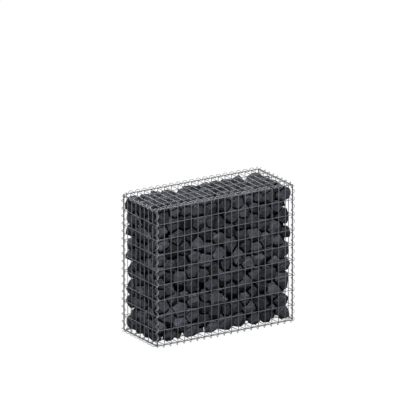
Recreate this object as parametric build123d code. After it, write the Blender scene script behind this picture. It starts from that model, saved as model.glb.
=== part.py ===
from build123d import *
import os
from math import acos, asin, cos, pi, sin, sqrt

# A free-standing gabion: a basket of six welded wire panels, laced along its twelve edges by wire spirals
# and filled with broken stone, laid in courses as high as one row of the mesh.
# Millimetres. +X runs along the wall, +Y from front to back, +Z up. The origin is on the ground, under the middle.

# Basket, between the middles of the outermost wires of the front panel and of the end panels
basket_length = 1000.0
basket_depth = 400.0
basket_height = 900.0

# Mesh: uprights and the wires across the lid stand close, level wires and the wires along the lid wider
close_pitch = 50.0
wide_pitch = 100.0
panel_wire = 4.5
weld_sink = 1.1

# Lacing: loose spirals that end just short of the corners, where three of them meet
spiral_wire = 4.0
spiral_outside = 26.0
spiral_setback = 4.0
spiral_wire_sides = 6
chords_per_turn = 8

# Stone fill: its top has settled below the lid
fill_settle = 25.0

# Between pieces that lie against each other
seat_gap = 0.3

# Each panel has an inner and an outer layer of wires, pressed together where they are welded
half_wire = panel_wire / 2
layer_step = panel_wire - weld_sink
lap_step = panel_wire + seat_gap

# Layers of the panels, as distances from the middle of the basket and as heights over the base's lower wires
front_upright_y = basket_depth / 2
front_level_y = front_upright_y - layer_step
end_upright_x = basket_length / 2 + lap_step
end_level_x = end_upright_x + layer_step
base_across_z = layer_step
lid_across_z = basket_height - layer_step
middle_z = basket_height / 2

# Outermost wires: front and back lie inside the ends, base and lid inside the front and back,
# and the ends inside the base and lid
end_level_reach = basket_height / 2 - layer_step - lap_step
base_along_reach = front_level_y - lap_step

# A spiral goes round the two wires that it laces, drawn outward until it bears on them: these wires lie
# one behind the other along the ends and the corners, and side by side along the front and back
spiral_reach = spiral_outside / 2
spiral_radius = spiral_reach - spiral_wire / 2
spiral_hold = spiral_radius * cos(pi / chords_per_turn) - spiral_wire / 2 - seat_gap
lapped_half = lap_step / 2 + half_wire
behind_angle = acos(half_wire / spiral_hold)
behind_draw = spiral_hold * sin(behind_angle) - lapped_half
beside_angle = asin(lapped_half / spiral_hold)
beside_draw = spiral_hold * cos(beside_angle) - half_wire

# The fill bears on the inner layer of the panels, and its edges are cut back to clear the spirals
fill_half_x = end_upright_x - half_wire - seat_gap
fill_half_y = front_level_y - half_wire - seat_gap
fill_bottom = base_across_z + half_wire + seat_gap
fill_top = basket_height - fill_bottom - fill_settle
spiral_to_fill = layer_step + panel_wire + 2 * seat_gap - lap_step / 2 + min(behind_draw, beside_draw)
edge_relief = sqrt(2) * (spiral_reach + seat_gap) - spiral_to_fill


def mesh_step(span, pitch):
    """The spacing nearest to the pitch that divides the span evenly."""
    return span / max(round(span / pitch), 1)


def wire_places(span, pitch, reach):
    """Places of parallel wires: evenly over the span, with the outermost two at the reach."""
    step = mesh_step(span, pitch)
    count = round(span / step)
    inner = [step * index - span / 2 for index in range(1, count)]
    return [-reach, *inner, reach]


def welded_panel(plane, inner_places, inner_reach, outer_places, outer_reach):
    """Wires along the plane's X, and wires along its Y welded onto their outer side, as one piece."""
    inner_wire = Box(2 * inner_reach + panel_wire, panel_wire, panel_wire)
    outer_wire = Box(panel_wire, 2 * outer_reach + panel_wire, panel_wire)
    wires = [Pos(0, place, 0) * inner_wire for place in inner_places]
    wires += [Pos(place, 0, layer_step) * outer_wire for place in outer_places]
    return plane * (Part() + wires)


def front_or_back_panel(side):
    plane = Plane(origin=(0, side * front_level_y, middle_z), x_dir=(1, 0, 0), z_dir=(0, side, 0))
    levels = wire_places(basket_height, wide_pitch, basket_height / 2)
    uprights = wire_places(basket_length, close_pitch, basket_length / 2)
    return welded_panel(plane, levels, basket_length / 2, uprights, basket_height / 2)


def end_panel(side):
    plane = Plane(origin=(side * end_upright_x, 0, middle_z), x_dir=(0, 0, 1), z_dir=(side, 0, 0))
    uprights = wire_places(basket_depth, close_pitch, front_upright_y)
    levels = wire_places(basket_height, wide_pitch, end_level_reach)
    return welded_panel(plane, uprights, end_level_reach, levels, front_upright_y)


def base_or_lid_panel(side, across_z):
    plane = Plane(origin=(0, 0, across_z), x_dir=(0, 1, 0), z_dir=(0, 0, side))
    across = wire_places(basket_length, close_pitch, end_level_x)
    along = wire_places(basket_depth, wide_pitch, base_along_reach)
    return welded_panel(plane, across, base_along_reach, along, end_level_x)


def spiral_path(span, bearing_angle):
    """Corners of a right-handed spiral round Z, which passes X halfway between the wires of the mesh."""
    step = mesh_step(span, close_pitch)
    turns = round(span / step)
    path = []
    for index in range(-chords_per_turn, chords_per_turn * turns):
        angle = bearing_angle + 2 * pi * (index + 1 / 2) / chords_per_turn
        height = step * (angle / (2 * pi) + 1 / 2) - span / 2
        if abs(height) < span / 2 - spiral_setback:
            path.append(Vector(spiral_radius * cos(angle), spiral_radius * sin(angle), height))
    return path


def bent_wire(path):
    """A wire of flat sides along straight chords, with its corners mitred."""
    chords = [(after - before).normalized() for before, after in zip(path, path[1:])]
    mitres = [chords[0], *[one + other for one, other in zip(chords, chords[1:])], chords[-1]]
    section = Plane(origin=path[0], z_dir=chords[0])
    angles = [2 * pi * side / spiral_wire_sides for side in range(spiral_wire_sides)]
    ring = [section.from_local_coords(Vector(cos(angle), sin(angle)) * (spiral_wire / 2)) for angle in angles]
    rings = [ring]
    for corner, mitre, chord in zip(path[1:], mitres[1:], chords):
        ring = [point + chord * ((corner - point).dot(mitre) / chord.dot(mitre)) for point in ring]
        rings.append(ring)
    outlines = [rings[0], rings[-1]]
    for ring, further in zip(rings, rings[1:]):
        for side in range(spiral_wire_sides):
            outlines.append([ring[side - 1], ring[side], further[side], further[side - 1]])
    return Solid(Shell([Face(Wire.make_polygon(outline)) for outline in outlines]))


def laced_edge(spiral, middle, axis, inward):
    """Sets a spiral on an edge, from which the panel that reaches furthest out runs inward."""
    return Plane(origin=middle, x_dir=inward, z_dir=axis) * spiral


def stone_course(index, count):
    """One course of the fill, cut back along the basket's edges."""
    step = mesh_step(basket_height, wide_pitch)
    bottom = fill_bottom if index == 0 else step * index
    top = fill_top if index == count - 1 else step * (index + 1) - seat_gap
    block = Pos(0, 0, (bottom + top) / 2) * Box(2 * fill_half_x, 2 * fill_half_y, top - bottom)
    relieved = block.edges().filter_by(Axis.Z)
    if index == 0:
        relieved += block.faces().sort_by(Axis.Z)[0].edges()
    return chamfer(relieved, edge_relief)


parts = {
    "front_panel": front_or_back_panel(-1),
    "back_panel": front_or_back_panel(1),
    "left_end_panel": end_panel(-1),
    "right_end_panel": end_panel(1),
    "base_panel": base_or_lid_panel(-1, base_across_z),
    "lid_panel": base_or_lid_panel(1, lid_across_z),
}

long_spiral = bent_wire(spiral_path(basket_length, beside_angle))
short_spiral = bent_wire(spiral_path(basket_depth, behind_angle))
upright_spiral = bent_wire(spiral_path(basket_height, behind_angle))
front_lace_y = front_level_y - lap_step / 2
corner_lace_x = end_upright_x - lap_step / 2 + behind_draw
end_lace_z = base_across_z + lap_step / 2 - behind_draw

for level, height, end_height, up in [
    ("base", -beside_draw, end_lace_z, 1),
    ("lid", basket_height + beside_draw, basket_height - end_lace_z, -1),
]:
    for face, side in [("front", -1), ("back", 1)]:
        middle = (0, side * front_lace_y, height)
        parts[f"{level}_{face}_spiral"] = laced_edge(long_spiral, middle, (1, 0, 0), (0, 0, up))
    for end, side in [("left", -1), ("right", 1)]:
        middle = (side * end_level_x, 0, end_height)
        parts[f"{level}_{end}_spiral"] = laced_edge(short_spiral, middle, (0, 1, 0), (-side, 0, 0))

for face, side_y in [("front", -1), ("back", 1)]:
    for end, side_x in [("left", -1), ("right", 1)]:
        middle = (side_x * corner_lace_x, side_y * front_upright_y, middle_z)
        spiral = laced_edge(upright_spiral, middle, (0, 0, 1), (0, -side_y, 0))
        parts[f"{face}_{end}_corner_spiral"] = spiral

course_count = round(basket_height / mesh_step(basket_height, wide_pitch))
for index in range(course_count):
    parts[f"stone_course_{index + 1}"] = stone_course(index, course_count)

# The basket stands on the lowest turns of its base spirals
ground = min(part.bounding_box().min.Z for part in parts.values())
os.makedirs("parts", exist_ok=True)
for name, part in parts.items():
    export_step(Pos(0, 0, -ground) * part, f"parts/{name}.step", write_pcurves=False)
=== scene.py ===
import math

import bmesh
import bpy
import numpy as np
from mathutils import Matrix, Vector


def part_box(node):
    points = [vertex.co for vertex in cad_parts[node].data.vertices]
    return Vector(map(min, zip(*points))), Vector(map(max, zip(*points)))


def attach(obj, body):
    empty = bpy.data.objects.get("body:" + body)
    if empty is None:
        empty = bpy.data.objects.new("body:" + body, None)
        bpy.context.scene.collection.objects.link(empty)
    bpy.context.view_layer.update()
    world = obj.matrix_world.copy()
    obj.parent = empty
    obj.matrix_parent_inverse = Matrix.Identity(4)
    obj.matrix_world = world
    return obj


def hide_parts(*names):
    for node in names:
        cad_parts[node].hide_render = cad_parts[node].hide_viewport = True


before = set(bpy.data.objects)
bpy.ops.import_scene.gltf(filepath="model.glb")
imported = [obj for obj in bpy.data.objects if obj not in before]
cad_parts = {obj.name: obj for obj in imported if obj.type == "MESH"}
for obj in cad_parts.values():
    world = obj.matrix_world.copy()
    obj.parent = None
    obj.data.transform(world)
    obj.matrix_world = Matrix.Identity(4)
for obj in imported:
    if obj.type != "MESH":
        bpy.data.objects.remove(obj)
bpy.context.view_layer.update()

scene = bpy.context.scene
scene.view_settings.view_transform = "Standard"
print("frame loaded,", len(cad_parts), "nodes")


# Nodes that the materials share

clouds = {
    "detail": 6,
    "roughness": 0.62,
    "distortion": 0.3,
    "middle": 0.5,  # of the noise, which the contrast spreads
}


def addNode(tree, kind, sockets=None, **settings):
    node = tree.nodes.new(kind)
    for name, value in settings.items():
        setattr(node, name, value)
    for name, value in (sockets or {}).items():
        node.inputs[name].default_value = value
    return node


def newMaterial(name):
    material = bpy.data.materials.new(name)
    material.use_nodes = True
    tree = material.node_tree
    return material, tree, tree.nodes["Principled BSDF"]


def makeMottle():
    # cloudy patches between two colours, with a mask for roughness and bumps
    group = bpy.data.node_groups.new("mottle", "ShaderNodeTree")
    inputs = {"Vector": "Vector", "Scale": "Float", "Contrast": "Float", "Dark": "Color", "Light": "Color"}
    for name, kind in inputs.items():
        group.interface.new_socket(name, in_out="INPUT", socket_type="NodeSocket" + kind)
    for name, kind in {"Color": "Color", "Mask": "Float"}.items():
        group.interface.new_socket(name, in_out="OUTPUT", socket_type="NodeSocket" + kind)
    taken = addNode(group, "NodeGroupInput")
    given = addNode(group, "NodeGroupOutput")
    noise = addNode(group, "ShaderNodeTexNoise")
    noise.inputs["Detail"].default_value = clouds["detail"]
    noise.inputs["Roughness"].default_value = clouds["roughness"]
    noise.inputs["Distortion"].default_value = clouds["distortion"]
    centred = addNode(group, "ShaderNodeMath", {1: clouds["middle"]}, operation="SUBTRACT")
    spread = addNode(group, "ShaderNodeMath", operation="MULTIPLY")
    mask = addNode(group, "ShaderNodeMath", {1: clouds["middle"]}, operation="ADD", use_clamp=True)
    blend = addNode(group, "ShaderNodeMix", data_type="RGBA")
    group.links.new(taken.outputs["Vector"], noise.inputs["Vector"])
    group.links.new(taken.outputs["Scale"], noise.inputs["Scale"])
    group.links.new(noise.outputs["Fac"], centred.inputs[0])
    group.links.new(centred.outputs[0], spread.inputs[0])
    group.links.new(taken.outputs["Contrast"], spread.inputs[1])
    group.links.new(spread.outputs[0], mask.inputs[0])
    group.links.new(mask.outputs[0], blend.inputs["Factor"])
    group.links.new(taken.outputs["Dark"], blend.inputs["A"])
    group.links.new(taken.outputs["Light"], blend.inputs["B"])
    group.links.new(blend.outputs["Result"], given.inputs["Color"])
    group.links.new(mask.outputs[0], given.inputs["Mask"])
    return group


mottle = makeMottle()


def addMottle(tree, scale, contrast, colours=None):
    place = addNode(tree, "ShaderNodeTexCoord")
    patches = addNode(tree, "ShaderNodeGroup", node_tree=mottle)
    patches.inputs["Scale"].default_value = scale
    patches.inputs["Contrast"].default_value = contrast
    if colours:
        patches.inputs["Dark"].default_value, patches.inputs["Light"].default_value = colours
    tree.links.new(place.outputs["Object"], patches.inputs["Vector"])
    return patches


def addAttribute(tree, name):
    return addNode(tree, "ShaderNodeAttribute", attribute_name=name).outputs["Fac"]


def addRange(tree, mask, ends):
    # stretches a mask between two values
    stretch = addNode(tree, "ShaderNodeMapRange", {"To Min": ends[0], "To Max": ends[1]})
    tree.links.new(mask, stretch.inputs["Value"])
    return stretch.outputs["Result"]


def addTint(tree, colour, share):
    tint = addNode(tree, "ShaderNodeMix", {"Factor": 1.0}, data_type="RGBA", blend_type="MULTIPLY")
    tree.links.new(colour, tint.inputs["A"])
    tree.links.new(share, tint.inputs["B"])
    return tint.outputs["Result"]


def addBump(tree, mask, strength, depth):
    bump = addNode(tree, "ShaderNodeBump", {"Strength": strength, "Distance": depth})
    tree.links.new(mask, bump.inputs["Height"])
    return bump


# Zinc of the wires

zinc = {
    "panelColours": ((0.092, 0.097, 0.107, 1), (0.158, 0.166, 0.182, 1)),
    "spiralColours": ((0.161, 0.168, 0.1815, 1), (0.2625, 0.273, 0.291, 1)),
    "spangleScale": 240,
    "spangleContrast": 2.6,
    "roughness": (0.36, 0.58),
    "grainStrength": 0.25,
    "grainDepth": 0.0003,
    "metallic": 0.25,
    "specular": 0.2,
}


def makeZinc(name, colours):
    # hot-dip zinc: dull grey spangle, rougher where it is pale
    material, tree, shader = newMaterial(name)
    patches = addMottle(tree, zinc["spangleScale"], zinc["spangleContrast"], colours)
    mask = patches.outputs["Mask"]
    grain = addBump(tree, mask, zinc["grainStrength"], zinc["grainDepth"])
    tree.links.new(patches.outputs["Color"], shader.inputs["Base Color"])
    tree.links.new(addRange(tree, mask, zinc["roughness"]), shader.inputs["Roughness"])
    tree.links.new(grain.outputs["Normal"], shader.inputs["Normal"])
    shader.inputs["Metallic"].default_value = zinc["metallic"]
    shader.inputs["Specular IOR Level"].default_value = zinc["specular"]
    return material


# Skin of the broken stones

stoneSkin = {
    "colours": ((0.0198, 0.0214, 0.0255, 1), (0.0429, 0.046, 0.0546, 1)),
    "patchScale": 34,
    "patchContrast": 2.2,
    "toneShares": (0.25, 1.9),
    "faceShares": (0.72, 1.28),
    "speckleShares": ((0.6, 0.6, 0.6, 1), (1.4, 1.4, 1.4, 1)),
    "speckleScale": 90,
    "speckleContrast": 3.6,
    "gritScale": 420,
    "gritContrast": 3.0,
    "dust": (0.0787, 0.084, 0.0965, 1),
    "bruise": 0.55,
    "roughness": (0.72, 0.95),
    "lumpStrength": 0.55,
    "lumpDepth": 0.0035,
    "gritStrength": 0.35,
    "gritDepth": 0.0008,
    "specular": 0.08,
}


def makeBrokenStone():
    # dark stone: a tone for each stone and each face, cloudy patches, pale bruised edges and a gritty skin
    material, tree, shader = newMaterial("brokenStone")
    patches = addMottle(tree, stoneSkin["patchScale"], stoneSkin["patchContrast"], stoneSkin["colours"])
    speckle = addMottle(tree, stoneSkin["speckleScale"], stoneSkin["speckleContrast"],
                        stoneSkin["speckleShares"])
    grit = addMottle(tree, stoneSkin["gritScale"], stoneSkin["gritContrast"])
    toneShare = addRange(tree, addAttribute(tree, "stoneTone"), stoneSkin["toneShares"])
    faceShare = addRange(tree, addAttribute(tree, "faceTone"), stoneSkin["faceShares"])
    colour = addTint(tree, patches.outputs["Color"], toneShare)
    colour = addTint(tree, colour, faceShare)
    colour = addTint(tree, colour, speckle.outputs["Color"])

    bruise = addNode(tree, "ShaderNodeMath", operation="MULTIPLY")
    bruiseLevel = addNode(tree, "ShaderNodeMath", {1: stoneSkin["bruise"]}, operation="MULTIPLY")
    bruised = addNode(tree, "ShaderNodeMix", {"B": stoneSkin["dust"]}, data_type="RGBA")
    tree.links.new(addAttribute(tree, "bruisedEdge"), bruise.inputs[0])
    tree.links.new(grit.outputs["Mask"], bruise.inputs[1])
    tree.links.new(bruise.outputs[0], bruiseLevel.inputs[0])
    tree.links.new(bruiseLevel.outputs[0], bruised.inputs["Factor"])
    tree.links.new(colour, bruised.inputs["A"])
    tree.links.new(bruised.outputs["Result"], shader.inputs["Base Color"])

    lumps = addBump(tree, patches.outputs["Mask"], stoneSkin["lumpStrength"], stoneSkin["lumpDepth"])
    grains = addBump(tree, grit.outputs["Mask"], stoneSkin["gritStrength"], stoneSkin["gritDepth"])
    tree.links.new(addRange(tree, grit.outputs["Mask"], stoneSkin["roughness"]), shader.inputs["Roughness"])
    tree.links.new(lumps.outputs["Normal"], grains.inputs["Normal"])
    tree.links.new(grains.outputs["Normal"], shader.inputs["Normal"])
    shader.inputs["Specular IOR Level"].default_value = stoneSkin["specular"]
    return material


panelZinc = makeZinc("panelZinc", zinc["panelColours"])
spiralZinc = makeZinc("spiralZinc", zinc["spiralColours"])
brokenStone = makeBrokenStone()
print("finishes made")


# Helpers for pieces modelled with operators

smoothAngle = math.radians(50)


def deselectAll():
    bpy.ops.object.select_all(action="DESELECT")


def activate(piece):
    deselectAll()
    piece.select_set(True)
    bpy.context.view_layer.objects.active = piece


def applyPlace(piece):
    activate(piece)
    bpy.ops.object.transform_apply(location=True, rotation=True, scale=True)


def copyTo(pattern, place):
    twin = pattern.copy()
    twin.data = pattern.data.copy()
    scene.collection.objects.link(twin)
    twin.matrix_world = place
    return twin


def joinAs(name, members):
    deselectAll()
    for member in members:
        member.select_set(True)
    bpy.context.view_layer.objects.active = members[0]
    bpy.ops.object.join()
    piece = bpy.context.object
    piece.name = piece.data.name = name
    applyPlace(piece)
    return piece


def fitOut(piece, material, node):
    piece.data.materials.clear()
    piece.data.materials.append(material)
    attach(piece, "root")
    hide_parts(node)


def axisVector(axis):
    return Vector([float(index == axis) for index in range(3)])


def turnTo(axis):
    # lays along the axis what stands along Z
    return axisVector(2).rotation_difference(axisVector(axis)).to_matrix().to_4x4()


# Welded panels

panel = {
    "wireRadius": 0.00225,
    "sides": 12,
    "endRound": 0.0007,
    "endSegments": 2,
    "closePitch": 0.05,
    "widePitch": 0.10,
    "weldSize": (0.0031, 0.0031, 0.0021),
    "weldSegments": 8,
    "weldRings": 5,
}

wireRadius = panel["wireRadius"]
frontLow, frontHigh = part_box("front_panel")
endLow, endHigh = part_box("left_end_panel")
basketLow = Vector((frontLow.x, endLow.y, frontLow.z)) + Vector((1, 1, 1)) * wireRadius
basketHigh = Vector((frontHigh.x, endHigh.y, frontHigh.z)) - Vector((1, 1, 1)) * wireRadius
basketSize = basketHigh - basketLow
basketMiddle = (basketLow + basketHigh) / 2


def makeWire(length):
    deselectAll()
    bpy.ops.mesh.primitive_cylinder_add(vertices=panel["sides"], radius=wireRadius, depth=length)
    wire = bpy.context.object
    bpy.ops.object.mode_set(mode="EDIT")
    bpy.ops.mesh.select_all(action="DESELECT")
    bpy.ops.mesh.select_mode(type="FACE")
    mesh = bmesh.from_edit_mesh(wire.data)
    for face in mesh.faces:
        face.select = len(face.verts) == panel["sides"]  # the two ends
    bmesh.update_edit_mesh(wire.data)
    bpy.ops.mesh.region_to_loop()
    bpy.ops.mesh.bevel(offset=panel["endRound"], segments=panel["endSegments"], affect="EDGES")
    bpy.ops.object.mode_set(mode="OBJECT")
    bpy.ops.object.shade_smooth_by_angle(angle=smoothAngle)
    return wire


def makeWeld():
    # squeezed-out metal where two wires are pressed together
    deselectAll()
    bpy.ops.mesh.primitive_uv_sphere_add(segments=panel["weldSegments"], ring_count=panel["weldRings"],
                                         radius=1)
    weld = bpy.context.object
    bpy.ops.object.mode_set(mode="EDIT")
    bpy.ops.mesh.select_all(action="SELECT")
    bpy.ops.transform.resize(value=panel["weldSize"])
    bpy.ops.object.mode_set(mode="OBJECT")
    bpy.ops.object.shade_smooth()
    return weld


def wirePlaces(low, high, start, pitch):
    # outermost wires at the panel's edges, the others on the basket's grid
    inner = [start + pitch * step for step in range(1, round((high - low) / pitch) + 1)]
    inner = [place for place in inner if low + pitch / 2 < place < high - pitch / 2]
    return [low + wireRadius, *inner, high - wireRadius]


def weldedPanel(node, normal, innerAxis, outerAxis, innerPitch, outerPitch):
    # normal is the panel's thin axis with its sign
    # inner wires run along innerAxis, outer ones along outerAxis
    low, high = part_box(node)
    thin, sign = normal
    outerLayer = (high if sign > 0 else low)[thin] - sign * wireRadius
    innerLayer = (low if sign > 0 else high)[thin] + sign * wireRadius
    innerPlaces = wirePlaces(low[outerAxis], high[outerAxis], basketLow[outerAxis], innerPitch)
    outerPlaces = wirePlaces(low[innerAxis], high[innerAxis], basketLow[innerAxis], outerPitch)
    members = []
    for along, across, layer, places in ((innerAxis, outerAxis, innerLayer, innerPlaces),
                                         (outerAxis, innerAxis, outerLayer, outerPlaces)):
        wire = makeWire(high[along] - low[along])
        for place in places:
            middle = (low + high) / 2
            middle[across] = place
            middle[thin] = layer
            members.append(copyTo(wire, Matrix.Translation(middle) @ turnTo(along)))
        bpy.data.objects.remove(wire)
    weld = makeWeld()
    for innerPlace in innerPlaces:
        for outerPlace in outerPlaces:
            middle = Vector()
            middle[thin] = (innerLayer + outerLayer) / 2
            middle[outerAxis] = innerPlace
            middle[innerAxis] = outerPlace
            members.append(copyTo(weld, Matrix.Translation(middle) @ turnTo(thin)))
    bpy.data.objects.remove(weld)
    fitOut(joinAs(node + "_wires", members), panelZinc, node)


close, wide = panel["closePitch"], panel["widePitch"]
weldedPanel("front_panel", (1, -1), 0, 2, wide, close)
weldedPanel("back_panel", (1, 1), 0, 2, wide, close)
weldedPanel("left_end_panel", (0, -1), 2, 1, close, wide)
weldedPanel("right_end_panel", (0, 1), 2, 1, close, wide)
weldedPanel("base_panel", (2, -1), 1, 0, close, wide)
weldedPanel("lid_panel", (2, 1), 1, 0, close, wide)
print("panels welded")


# Spirals that lace the edges

spiral = {
    "wireRadius": 0.0020,
    "coilRadius": 0.0110,
    "pitch": 0.05,
    "midMesh": 0.5,  # share of a pitch at which the coil passes inward
    "sides": 10,
    "stepsPerTurn": 24,
    "setback": 0.004,
}


def makeCoil(length):
    # a coil that starts on X and climbs round Z
    coilRadius, turns = spiral["coilRadius"], length / spiral["pitch"]
    slope = math.atan2(spiral["pitch"], 2 * math.pi * coilRadius)
    deselectAll()
    bpy.ops.mesh.primitive_circle_add(vertices=spiral["sides"], radius=spiral["wireRadius"],
                                      location=(coilRadius, 0, 0), rotation=(math.pi / 2 + slope, 0, 0))
    coil = bpy.context.object
    bpy.ops.object.transform_apply(location=True, rotation=True, scale=True)
    screw = coil.modifiers.new("screw", "SCREW")
    screw.angle = 2 * math.pi * turns
    screw.screw_offset = length
    screw.steps = screw.render_steps = round(turns * spiral["stepsPerTurn"])
    screw.use_smooth_shade = True
    bpy.ops.object.modifier_apply(modifier="screw")
    bpy.ops.object.mode_set(mode="EDIT")
    bpy.ops.mesh.select_all(action="SELECT")
    bpy.ops.mesh.fill_holes(sides=0)
    bpy.ops.mesh.normals_make_consistent(inside=False)
    bpy.ops.object.mode_set(mode="OBJECT")
    bpy.ops.object.shade_smooth_by_angle(angle=smoothAngle)
    return coil


def laceEdge(node, axis, inward):
    # inward points from the edge into the panel that the coil passes in mid mesh
    low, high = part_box(node)
    along = axisVector(axis)
    middle = (low + high) / 2
    middle[axis] = basketMiddle[axis]
    length = basketSize[axis] - 2 * spiral["setback"]
    coil = makeCoil(length)
    startTurn = spiral["setback"] / spiral["pitch"] - spiral["midMesh"]
    turned = Matrix((inward, along.cross(inward), along)).transposed().to_4x4()
    started = Matrix.Translation((0, 0, -length / 2)) @ Matrix.Rotation(2 * math.pi * startTurn, 4, "Z")
    coil.matrix_world = Matrix.Translation(middle) @ turned @ started
    coil.name = coil.data.name = node + "_coil"
    applyPlace(coil)
    fitOut(coil, spiralZinc, node)


for level, up in (("base", 1), ("lid", -1)):
    for face in ("front", "back"):
        laceEdge(f"{level}_{face}_spiral", 0, Vector((0, 0, up)))
    for end, sideways in (("left", 1), ("right", -1)):
        laceEdge(f"{level}_{end}_spiral", 1, Vector((sideways, 0, 0)))
for face, back in (("front", 1), ("back", -1)):
    for end in ("left", "right"):
        laceEdge(f"{face}_{end}_corner_spiral", 2, Vector((0, back, 0)))
print("edges laced")


# Stone fill

fill = {
    "seed": 12,
    "count": 524,
    "smallest": 0.032,  # radii of the stones as they settle
    "largest": 0.060,
    "bell": (2, 2),  # sizes and tones crowd round the middle of their range
    "cells": (12, 5, 12),  # of the loose stack that the stones fall from
    "looseness": 0.3,
    "steps": 600,
    "stillSteps": 200,  # at the end, without weight
    "weight": 0.0003,
    "pushes": 2,  # in each step
    "pairSteps": 8,  # between searches for neighbours
    "pairReach": 0.012,
    "tinyDistance": 1e-9,  # against dividing by nothing
    "chinkTries": 12000,
    "chinkSmallest": 0.0145,
    "chinkLargest": 0.028,
    "chinkBelowLid": 0.10,
    "chinkFromSides": 0.05,
    "wallGap": 0.0006,  # from stones to wires
    "gap": 0.011,  # between stones
    "bulk": 1.24,  # uncut block, to the settled radius
    "facets": 14,
    "facetShares": (0.93, 1.10),  # distance of broken faces, to the settled radius
    "facetTilt": 0.22,
    "stretch": (-0.10, 0.16),
    "wallFacets": 2,
    "wallTilt": 0.34,
    "wallShares": (0.84, 0.99),
    "cutTolerance": 1e-6,
    "shortestEdge": 0.008,
    "bevel": 0.0020,
    "flatEdge": 1e-5,
    "bevelTone": 0.5,
}


def edgePlane(node):
    # the plane that keeps stones clear of one spiral, as (outward direction, distance from the origin)
    low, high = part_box(node)
    middle, size = (low + high) / 2, high - low
    along = max(range(3), key=lambda axis: size[axis])
    outward = [math.copysign(1, middle[axis] - basketMiddle[axis]) for axis in range(3)]
    outward[along] = 0
    normal = Vector(outward).normalized()
    reach = spiral["coilRadius"] + spiral["wireRadius"] + fill["wallGap"]
    return np.array(normal), normal.dot(middle) - reach


courseNodes = sorted(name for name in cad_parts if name.startswith("stone_course_"))
fillLow = np.array(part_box("stone_course_1")[0])
fillHigh = np.array(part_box("stone_course_1")[1])
fillHigh[2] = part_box("lid_panel")[0].z - fill["wallGap"]
fillPlanes = [(row, row @ fillHigh) for row in np.eye(3)] + [(-row, -row @ fillLow) for row in np.eye(3)]
fillPlanes += [edgePlane(node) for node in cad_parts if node.endswith("_spiral")]


def settleStones():
    # round stones dropped from a loose stack, pushed apart where they meet and kept inside the panels
    rng = np.random.default_rng(fill["seed"])
    count, cells, loose = fill["count"], np.array(fill["cells"]), fill["looseness"]
    radii = fill["smallest"] + (fill["largest"] - fill["smallest"]) * rng.beta(*fill["bell"], count)
    stack = np.array(np.meshgrid(*[np.arange(size) for size in cells], indexing="ij")).reshape(3, -1).T
    stack = stack[rng.permutation(len(stack))[:count]]
    centres = fillLow + (fillHigh - fillLow) * (stack + 0.5 + rng.uniform(-loose, loose, stack.shape)) / cells
    lowest, highest = fillLow + radii[:, None], fillHigh - radii[:, None]
    for step in range(fill["steps"]):
        if step % fill["pairSteps"] == 0:
            clear = np.linalg.norm(centres[:, None] - centres[None], axis=2) - radii[:, None] - radii[None]
            first, second = np.nonzero(np.triu(clear < fill["pairReach"], 1))
        if step < fill["steps"] - fill["stillSteps"]:
            centres[:, 2] -= fill["weight"]
        for push in range(fill["pushes"]):
            offset = centres[second] - centres[first]
            distance = np.linalg.norm(offset, axis=1) + fill["tinyDistance"]
            overlap = np.maximum(radii[first] + radii[second] - distance, 0)
            shift = offset * (overlap / distance / 2)[:, None]
            np.add.at(centres, second, shift)
            np.add.at(centres, first, -shift)
            centres = np.clip(centres, lowest, highest)
    return wedgeChinks(centres, radii, rng)


def wedgeChinks(centres, radii, rng):
    # small stones in the widest voids
    inset = np.array([fill["chinkFromSides"], fill["chinkFromSides"], 0])
    top = fillHigh - inset - np.array([0, 0, fill["chinkBelowLid"]])
    places = rng.uniform(fillLow + inset, top, (fill["chinkTries"], 3))
    room = (np.linalg.norm(places[:, None] - centres[None], axis=2) - radii[None]).min(axis=1)
    room = np.minimum(room, np.minimum(places - fillLow, fillHigh - places).min(axis=1))
    for index in np.argsort(-room):
        if room[index] < fill["chinkSmallest"]:
            break
        space = min((np.linalg.norm(centres - places[index], axis=1) - radii).min(), room[index])
        if space >= fill["chinkSmallest"]:
            centres = np.vstack((centres, places[index]))
            radii = np.append(radii, min(space, fill["chinkLargest"]))
    print(len(centres), "stones settled")
    return centres, radii


def neighbourPlanes(index, centres, radii):
    # cutting planes as (outward direction, distance), half a gap short of the stones around
    planes = []
    reach = fill["bulk"] * radii[index]
    offsets = centres - centres[index]
    distances = np.linalg.norm(offsets, axis=1)
    for other in np.nonzero((distances > 0) & (distances < reach + fill["bulk"] * radii))[0]:
        distance = distances[other]
        share = (distance ** 2 + radii[index] ** 2 - radii[other] ** 2) / (2 * distance) - fill["gap"] / 2
        if share < reach:
            planes.append((offsets[other] / distance, share))
    return planes


def wallPlanes(centre, reach, rng):
    # the panels and spirals within reach, each with a few leaning faces so that stones aren't cut off flat
    planes = []
    for normal, offset in fillPlanes:
        distance = offset - normal @ centre
        if distance < reach:
            planes.append((normal, distance))
            for facet in range(fill["wallFacets"]):
                leaning = normal + fill["wallTilt"] * rng.normal(size=3)
                share = rng.uniform(*fill["wallShares"])
                planes.append((leaning / np.linalg.norm(leaning), distance * share))
    return planes


def brokenPlanes(radius, rng):
    # the stone's own faces, evenly round it and then tilted, on a body drawn out or flattened along one axis
    planes = []
    turn = 2 * math.pi * rng.random()
    axis = Vector(rng.normal(size=3)).normalized()
    stretch = rng.uniform(*fill["stretch"])
    for facet in range(fill["facets"]):
        height = 1 - (2 * facet + 1) / fill["facets"]
        angle = turn + facet * math.pi * (3 - math.sqrt(5))  # by the golden angle
        ring = math.sqrt(1 - height ** 2)
        normal = Vector((ring * math.cos(angle), ring * math.sin(angle), height))
        normal = (normal + Vector(rng.normal(size=3)) * fill["facetTilt"]).normalized()
        normal.rotate(axisVector(2).rotation_difference(axis))
        share = rng.uniform(*fill["facetShares"]) * (1 + stretch * (3 * normal.dot(axis) ** 2 - 1))
        planes.append((np.array(normal), radius * share))
    return planes


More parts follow.
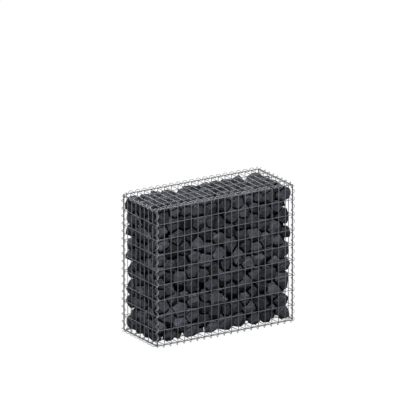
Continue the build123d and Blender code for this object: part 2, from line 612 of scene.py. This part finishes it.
def carveStone(planes, size):
    # a block cut by the planes, its edges bevelled and marked by their material index
    stone = bmesh.new()
    bmesh.ops.create_cube(stone, size=2 * size)
    for normal, reach in planes:
        cut = bmesh.ops.bisect_plane(stone, geom=stone.verts[:] + stone.edges[:] + stone.faces[:],
                                     dist=fill["cutTolerance"], plane_co=Vector(normal) * reach,
                                     plane_no=normal, clear_outer=True)
        rim = [item for item in cut["geom_cut"] if isinstance(item, bmesh.types.BMEdge)]
        if rim:
            bmesh.ops.contextual_create(stone, geom=rim)
    bmesh.ops.remove_doubles(stone, verts=stone.verts[:], dist=fill["shortestEdge"])
    bmesh.ops.dissolve_degenerate(stone, edges=stone.edges[:], dist=fill["flatEdge"])
    bevelled = bmesh.ops.bevel(stone, geom=stone.edges[:], offset=fill["bevel"], offset_type="OFFSET",
                               segments=1, profile=0.5, affect="EDGES", clamp_overlap=True)
    for face in bevelled["faces"]:
        face.material_index = 1
    bmesh.ops.dissolve_degenerate(stone, edges=stone.edges[:], dist=fill["flatEdge"])
    return stone


def heapStones():
    # every stone carved and put on the heap of its course
    centres, radii = settleStones()
    rng = np.random.default_rng(fill["seed"] + 1)
    toneRng = np.random.default_rng(fill["seed"] + 2)
    tops = [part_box(node)[1].z for node in courseNodes[:-1]]
    heaps = [{"points": [], "faces": [], "tones": [], "faceTones": [], "edges": []} for node in courseNodes]
    for index, centre in enumerate(centres):
        size = fill["bulk"] * radii[index]
        planes = neighbourPlanes(index, centres, radii)
        planes += wallPlanes(centre, size, rng)
        planes += brokenPlanes(radii[index], rng)
        stone = carveStone(planes, size)
        heap = heaps[int(np.searchsorted(tops, centre[2]))]
        first = len(heap["points"])
        stone.verts.index_update()
        heap["points"] += [tuple(vert.co + Vector(centre)) for vert in stone.verts]
        for face in stone.faces:
            heap["faces"].append([first + vert.index for vert in face.verts])
            heap["edges"].append(float(face.material_index))
            heap["faceTones"].append(fill["bevelTone"] if face.material_index else toneRng.random())
        heap["tones"] += [toneRng.beta(*fill["bell"])] * len(stone.verts)
        stone.free()
    return heaps


def layCourse(node, heap):
    mesh = bpy.data.meshes.new(node + "_stones")
    mesh.from_pydata(heap["points"], [], heap["faces"])
    mesh.attributes.new("stoneTone", "FLOAT", "POINT").data.foreach_set("value", heap["tones"])
    mesh.attributes.new("faceTone", "FLOAT", "FACE").data.foreach_set("value", heap["faceTones"])
    mesh.attributes.new("bruisedEdge", "FLOAT", "FACE").data.foreach_set("value", heap["edges"])
    course = bpy.data.objects.new(node + "_stones", mesh)
    scene.collection.objects.link(course)
    activate(course)
    bpy.ops.object.shade_smooth()
    course.modifiers.new("facets", "WEIGHTED_NORMAL")
    bpy.ops.object.modifier_apply(modifier="facets")
    fitOut(course, brokenStone, node)
    print(node, "laid,", len(heap["faces"]), "faces")


for node, heap in zip(courseNodes, heapStones()):
    layCourse(node, heap)


# Floor, light and camera

studio = {
    "floorSize": 120,
    "floorPale": (0.8, 0.8, 0.8, 1),  # as it is seen
    "floorBounce": (0.12, 0.12, 0.12, 1),  # as it throws light back up
    "floorRoughness": 0.9,
    "backdropShare": 0.96,
    "skyLevel": 0.03,
    "lampDistance": 6,
    "keyLight": {"azimuth": -29, "elevation": 51, "power": 4.8, "spread": 3},
    "topLight": {"azimuth": 172, "elevation": 40, "power": 4.5, "spread": 12},
}


def directionTo(azimuth, elevation):
    # from the basket outward, where azimuth 0 is straight in front
    turn, lift = math.radians(azimuth), math.radians(elevation)
    return Vector((math.sin(turn) * math.cos(lift), -math.cos(turn) * math.cos(lift), math.sin(lift)))


def seenWhite(tree):
    # 1 where the eye, a reflection or a clear piece looks at the surroundings
    path = addNode(tree, "ShaderNodeLightPath")
    eyeOrGloss = addNode(tree, "ShaderNodeMath", operation="MAXIMUM")
    seen = addNode(tree, "ShaderNodeMath", operation="MAXIMUM")
    tree.links.new(path.outputs["Is Camera Ray"], eyeOrGloss.inputs[0])
    tree.links.new(path.outputs["Is Glossy Ray"], eyeOrGloss.inputs[1])
    tree.links.new(eyeOrGloss.outputs[0], seen.inputs[0])
    tree.links.new(path.outputs["Is Transmission Ray"], seen.inputs[1])
    return seen.outputs[0]


def layFloor():
    deselectAll()
    bpy.ops.mesh.primitive_plane_add(size=studio["floorSize"])
    floor = bpy.context.object
    floor.name = "floor"
    material, tree, shader = newMaterial("paleFloor")
    shader.inputs["Roughness"].default_value = studio["floorRoughness"]
    shader.inputs["Specular IOR Level"].default_value = 0
    seen = seenWhite(tree)
    colour = addNode(tree, "ShaderNodeMix", data_type="RGBA")
    colour.inputs["A"].default_value = studio["floorBounce"]
    colour.inputs["B"].default_value = studio["floorPale"]
    white = addNode(tree, "ShaderNodeEmission", {"Color": (1, 1, 1, 1), "Strength": 1.0})
    share = addNode(tree, "ShaderNodeMath", {1: studio["backdropShare"]}, operation="MULTIPLY")
    mixed = addNode(tree, "ShaderNodeMixShader")
    tree.links.new(seen, colour.inputs["Factor"])
    tree.links.new(colour.outputs["Result"], shader.inputs["Base Color"])
    tree.links.new(seen, share.inputs[0])
    tree.links.new(share.outputs[0], mixed.inputs["Fac"])
    tree.links.new(shader.outputs[0], mixed.inputs[1])
    tree.links.new(white.outputs[0], mixed.inputs[2])
    tree.links.new(mixed.outputs[0], tree.nodes["Material Output"].inputs["Surface"])
    floor.data.materials.append(material)


def lightWorld():
    world = bpy.data.worlds.new("studio")
    scene.world = world
    world.use_nodes = True
    tree = world.node_tree
    background = tree.nodes["Background"]
    background.inputs["Color"].default_value = (1, 1, 1, 1)
    strength = addRange(tree, seenWhite(tree), (studio["skyLevel"], 1.0))
    tree.links.new(strength, background.inputs["Strength"])


def hangLamp(name):
    lamp = studio[name]
    source = directionTo(lamp["azimuth"], lamp["elevation"])
    deselectAll()
    bpy.ops.object.light_add(type="SUN", location=basketMiddle + studio["lampDistance"] * source)
    sun = bpy.context.object
    sun.name = name
    sun.data.energy = lamp["power"]
    sun.data.angle = math.radians(lamp["spread"])
    sun.rotation_euler = (-source).to_track_quat("-Z", "Y").to_euler()


view = {
    "azimuth": -32.0,
    "elevation": 17.7,
    "lens": 1000,  # long, for the photo's almost parallel edges
    "sensor": 36,
    "clipStart": 1,
    "imagePixels": 416,
    "pixelsPerMetre": 158.3,
    "basketPixel": (208.2, 257.3),  # where the basket's middle is seen
}


def setCamera():
    turn = math.radians(view["azimuth"])
    back = directionTo(view["azimuth"], view["elevation"])
    right = Vector((math.cos(turn), math.sin(turn), 0))
    up = back.cross(right)
    middle = view["imagePixels"] / 2
    aside = (middle - view["basketPixel"][0]) / view["pixelsPerMetre"]
    above = (view["basketPixel"][1] - middle) / view["pixelsPerMetre"]
    aim = basketMiddle + right * aside + up * above
    distance = view["imagePixels"] / view["pixelsPerMetre"] * view["lens"] / view["sensor"]
    deselectAll()
    bpy.ops.object.camera_add(location=aim + back * distance)
    camera = bpy.context.object
    camera.rotation_euler = (-back).to_track_quat("-Z", "Y").to_euler()
    camera.data.lens = view["lens"]
    camera.data.sensor_width = view["sensor"]
    camera.data.clip_start = view["clipStart"]
    camera.data.clip_end = 2 * distance
    scene.camera = camera


layFloor()
lightWorld()
hangLamp("keyLight")
hangLamp("topLight")
setCamera()
print("studio set")
